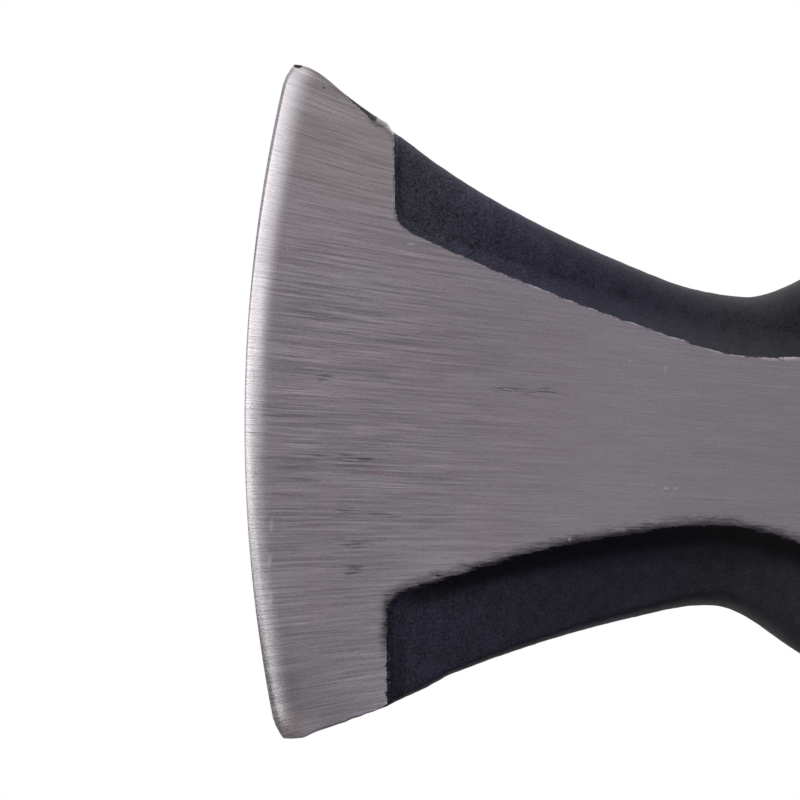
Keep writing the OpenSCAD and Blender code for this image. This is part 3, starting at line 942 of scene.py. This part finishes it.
def steel_height(s):
    lines = s.add(s.times(s.fine, 0.22), s.times(s.medium, 0.1))
    honed = s.times(s.times(s.grit, s.hone), 0.6)
    height = s.add(lines, s.add(s.times(s.stroke, -0.25), honed))
    return s.add(height, s.times(s.times(s.dents, s.struck), -3))


def head_coat(s):
    """Colour, roughness and height of the coat, sandier towards the shoulder, with painted light that makes
    it paler there and painted shade along the lower cheek's border.
    """
    upper = s.band(s.z, 789, 795)
    sandy = s.blend(upper, s.band(s.x, -100, -66, 5, 2.4), s.band(s.x, -100, -66, 5, 3.5))
    blue = s.times(s.band(s.x, -55, -70), s.blend(upper, 1, s.band(s.x, -104, -86, 0.3, 1)))
    colour, roughness, grain = coat_layers(s, sandy, blue)
    # Painted shade on the coat along the lower cheek's border, where its wall faces down.
    by_cheek = s.band(s.add(s.ground, s.centred(s.speckle, 0.8)), -3.6, -1.6, 0, 0.65)
    painted_wall_shade = s.times(s.times(by_cheek, s.band(s.x, -101.5, -97)), s.band(s.z, 793, 788))
    # Painted light: the upper flank is painted paler towards the shoulder and darker behind it, the lower
    # flank a little paler near the shoulder.
    tone = s.blend(upper, s.band(s.x, -101, -84, 1.15, 0.93), s.band(s.x, -106, -64, 1.7, 0.85))
    colour = s.tint(colour, s.times(tone, s.minus(1, painted_wall_shade)))
    worn = s.times(s.band(s.x, -108.2, -109.4), s.band(s.speckle, 0.35, 0.6, 0.25, 0.9))
    return s.mix(worn, colour, WORN_COAT), roughness, s.times(grain, 2.2)


def head_surface():
    """Ground steel and black coat, with the sockets that several of its layers share."""
    s = Surface("ground_and_coated_steel")
    s.across = grinding_height(s)
    s.side = s.times(s.y, 0.08)
    s.fine = streaks(s, 0.145, 11, 2, 0.7)
    s.medium = streaks(s, 0.5, 16)
    s.speckle = s.noise(s.place, 4.2, 2, 0.7)
    s.ground = s.field("ground")
    s.behind = s.field("behind_edge")
    s.photo_side = s.math("LESS_THAN", s.y, 0)
    s.under_cheek = s.times(s.span(s.z, 758, 763, 788, 793), s.band(s.x, -103.2, -101.8))
    s.stroke = dark_strokes(s)
    s.hone = s.times(s.band(s.behind, 3.4, 0.4), s.band(s.z, 832, 770, 0.25, 1))
    s.grit = edge_grit(s)
    s.level = grinding_level(s)
    s.struck = s.band(s.x, 70.5, 71.5)
    s.dents = s.times(s.band(s.cells(0.24), 0.5, 0), s.band(s.noise(s.place, 0.2, 1), 0.5, 0.7))
    return s


def head_material():
    s = head_surface()
    steel = bare_steel(s)
    coat_colour, coat_roughness, coat_height = head_coat(s)
    colour = s.mix(steel, coat_colour, steel_colour(s))
    roughness = s.blend(steel, coat_roughness, steel_roughness(s))
    relief = s.bump(s.blend(steel, coat_height, steel_height(s)), 0.06, 0.8)
    return s.finish(colour, steel, roughness, relief, Specular_IOR_Level=0.14)


# ---- the other materials
# pith is where the tree's heart would be, as x and y, ring the width of a year's growth, and fleck
# how dark the pores are.
HICKORY = dict(light=(0.78, 0.545, 0.30), dark=(0.49, 0.285, 0.13), pith=(16, 64), ring=3.1, fleck=0.5,
               varnish=0.35)
HARDWOOD = dict(light=(0.36, 0.20, 0.095), dark=(0.24, 0.12, 0.055), pith=(30, -50), ring=1.9,
                fleck=0.35, varnish=0)
RING_STEEL, STAIN = (0.56, 0.55, 0.55), (0.32, 0.24, 0.18)
RUBBED_STEEL = (0.3, 0.29, 0.3)
ZINC, DULL_ZINC = (0.62, 0.61, 0.6), (0.5, 0.47, 0.4)


def year_rings(s, pith, ring):
    """Which year of growth a point is in, and how early in that year, from 0 to 1."""
    sway = s.grain(0.012, 0.012, 0.0021)
    wobble = s.grain(0.07, 0.07, 0.008)
    dx = s.add(s.minus(s.x, pith[0]), s.centred(sway, 26))
    dy = s.add(s.minus(s.y, pith[1]), s.add(s.centred(sway, -34), s.times(s.z, 0.006)))
    radius = s.math("SQRT", s.add(s.times(dx, dx), s.times(dy, dy)))
    years = s.times(s.add(radius, s.centred(wobble, 3.2)), 1 / ring)
    turn = s.math("FRACT", years)
    early = s.larger(s.band(turn, 0.34, 0), s.band(turn, 0.93, 1))
    year = s.noise(s.join(s.math("FLOOR", years), 3.3, 7.7), 2.7, 1, 0.5)
    return year, early


def wood_material(name, light, dark, pith, ring, fleck, varnish):
    """Ring-porous wood with its grain up the handle."""
    s = Surface(name)
    year, early = year_rings(s, pith, ring)
    fibre = s.grain(1.6, 1.6, 0.022, 4, 0.62)
    pores = s.grain(3.6, 3.6, 0.11, 2, 0.6)
    pore = s.times(s.band(pores, 0.56, 0.66), s.add(s.times(early, 0.85), 0.15))
    heart = s.add(s.grain(0.03, 0.05, 0.0016, 2, 0.45), s.centred(year, 0.35))
    tone = s.mix(s.band(heart, 0.47, 0.68), light, dark)
    shade = s.add(s.one_plus(early, s.blend(year, -0.34, -0.16)), s.centred(fibre, 0.5))
    shade = s.times(shade, s.one_plus(pore, -fleck))
    flash = s.band(s.grain(0.9, 0.16, 0.05), 0.6, 0.75)
    shade = s.add(shade, s.times(flash, 0.05))
    rough = s.add(0.4, s.add(s.times(pore, 0.25), s.centred(fibre, 0.18)))
    height = s.add(s.times(pore, -0.6), s.add(s.times(fibre, 0.35), s.times(early, -0.15)))
    return s.finish(s.tint(tone, shade), 0, rough, s.bump(height, 0.12, 0.7), Coat_Weight=varnish,
                    Coat_Roughness=0.25)


def ring_material():
    """Turned steel with stains."""
    s = Surface("turned_steel")
    radius = s.math("SQRT", s.add(s.times(s.x, s.x), s.times(s.y, s.y)))
    lines = s.noise(s.join(s.times(radius, 6), s.times(s.z, 1.5), 0), 1, 3, 0.6)
    stain = s.band(s.noise(s.place, 0.5, 3), 0.52, 0.7)
    colour = s.mix(s.times(stain, 0.5), RING_STEEL, STAIN)
    colour = s.tint(colour, s.add(1, s.centred(lines, 0.5)))
    roughness = s.add(0.32, s.add(s.centred(lines, 0.3), s.times(stain, 0.15)))
    return s.finish(colour, 1, roughness, s.bump(lines, 0.05, 0.6))


def collar_material():
    """The head's coat, rubbed to the metal at the ends and along scuffs."""
    s = Surface("collar_coat")
    colour, rough, grain = coat_layers(s, 5, 0)
    foot = s.band(s.z, COLLAR_BOTTOM + 1.6, COLLAR_BOTTOM + 0.6)
    ends = s.add(foot, s.band(s.z, COLLAR_TOP - 0.5, COLLAR_TOP))
    rub = s.times(s.smaller(ends, 1), s.band(s.noise(s.place, 0.8, 3, 0.6), 0.5, 0.62))
    scuff = s.grain(0.5, 0.5, 2.2, 3, 0.6)
    rub = s.larger(rub, s.times(s.band(scuff, 0.68, 0.76), 0.25))
    colour = s.mix(rub, s.tint(colour, 0.75), RUBBED_STEEL)
    return s.finish(colour, s.times(rub, 0.8), s.add(rough, -0.08), s.bump(grain, 0.08, 0.6),
                    Specular_IOR_Level=0.4)


def screw_material():
    s = Surface("zinc_plated_steel")
    cloud = s.noise(s.place, 0.9, 3, 0.6)
    swirl = s.grain(1.2, 5, 5, 2, 0.6)
    colour = s.mix(s.band(cloud, 0.4, 0.65), ZINC, DULL_ZINC)
    colour = s.tint(colour, s.add(0.92, s.centred(swirl, 0.4)))
    roughness = s.add(0.28, s.centred(cloud, 0.3))
    return s.finish(colour, 1, roughness, s.bump(swirl, 0.03, 0.5))


# ---- floor, light and camera
LEVEL_LIGHT, LOW_LIGHT = 0.18, 0.06  # light from level and above, and from below
LOBES = [  # degrees left of the camera, degrees up, tightness and strength of each soft light
    (52, -8, 36, 3.4), (52, 14, 40, 1.8), (50, -28, 30, 1.3), (75, 58, 5, 0.85), (180, 20, 1.5, 1.1),
    (-90, 20, 4, 1),
]
PICTURE_CENTRE = Vector((-0.10225, 0, 0.79507))
CAMERA_DISTANCE = 1.2
FIELD = 0.1096  # width of the picture at the head's mid-plane, in metres
ROLL = math.radians(5)
SENSOR = 36


def build_floor():
    """A wide disc just below the butt, shown white and lit more dimly than it looks."""
    radius, top, bottom = 7000, -1, -30
    profile = [(0.001, top), (radius, top), (radius, bottom), (0.001, bottom)]
    floor = lathe("floor", profile, count=128)
    s = Surface("floor_paper")
    paper = s.noise(s.place, 0.02, 4)
    colour = s.tint((0.86, 0.86, 0.86), s.add(s.times(paper, 0.04), 0.98))
    s.finish(colour, 0, 0.9, Emission_Color=(1, 1, 1, 1), Emission_Strength=0.16)
    dim = s.node("BsdfDiffuse")
    s.put(dim.inputs["Color"], s.band(s.y, -300, 2500, 0.2, 0.8))
    s.put(s.out.inputs[0], s.for_camera(s.bsdf.outputs[0], dim.outputs[0]))
    dress(floor, s.material)


def lobe_direction(left, up):
    """A direction from the head, degrees left of the photograph's camera and above level."""
    a, e = math.radians(left), math.radians(up)
    return (-math.sin(a) * math.cos(e), -math.cos(a) * math.cos(e), math.sin(e))


def build_world():
    """A white background, and soft lights that only the object and the floor see."""
    world = bpy.data.worlds.new("studio")
    bpy.context.scene.world = world
    world.use_nodes = True
    n = Nodes(world.node_tree)
    direction = n.node("TexCoord").outputs["Generated"]
    lobes = []
    for left, up, tight, strength in LOBES:
        off_axis = n.minus(n.dot(direction, lobe_direction(left, up)), 1)
        lobes.append(n.times(n.math("EXPONENT", n.times(off_axis, tight)), strength))
    total = lobes[0]
    for lobe in lobes[1:]:
        total = n.add(total, lobe)
    total = n.add(total, n.band(n.split(direction)[2], -0.8, -0.12, LOW_LIGHT, LEVEL_LIGHT))
    light = n.node("Background")
    n.put(light.inputs["Strength"], total)
    seen = n.node("Background")
    seen.inputs["Color"].default_value = (1, 1, 1, 1)
    n.put(n.node("OutputWorld").inputs[0], n.for_camera(seen.outputs[0], light.outputs[0]))


def build_camera():
    data = bpy.data.cameras.new("camera")
    data.sensor_width = SENSOR
    data.lens = SENSOR * CAMERA_DISTANCE / FIELD
    data.clip_start = 0.01
    data.clip_end = 100
    camera = bpy.data.objects.new("camera", data)
    bpy.context.scene.collection.objects.link(camera)
    right = Vector((math.cos(ROLL), 0, math.sin(ROLL)))
    above = Vector((-math.sin(ROLL), 0, math.cos(ROLL)))
    back = right.cross(above)
    turned = Matrix((right, above, back)).transposed().to_4x4()
    camera.matrix_world = Matrix.Translation(PICTURE_CENTRE + back * CAMERA_DISTANCE) @ turned
    bpy.context.scene.camera = camera
    bpy.context.scene.view_settings.view_transform = "Standard"


# ---- putting it together
def dress(obj, material):
    obj.data.materials.clear()
    obj.data.materials.append(material)


def dress_screws():
    zinc = screw_material()
    for name, node in frame["nodes"].items():
        if name.startswith("collar_screw"):
            for slot in node.material_slots:
                slot.material = zinc


head = build_head()
cut_eye(head)
handle = build_handle()
kerf = build_kerf_wedge()
ring = build_ring_wedge()
collar = build_collar()

PIECES = [
    (head, "maul_head", "ground_steel", head_material()),
    (handle, "handle", "hickory", wood_material("hickory", **HICKORY)),
    (kerf, "kerf_wedge", "wedge_hardwood", wood_material("hardwood", **HARDWOOD)),
    (ring, "ring_wedge", "ring_steel", ring_material()),
    (collar, "overstrike_collar", "collar_steel", collar_material()),
]
for piece, node, slot, material in PIECES:
    dress(piece, material)
    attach(piece, "root")
    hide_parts(node)
dress_screws()

build_floor()
build_world()
build_camera()
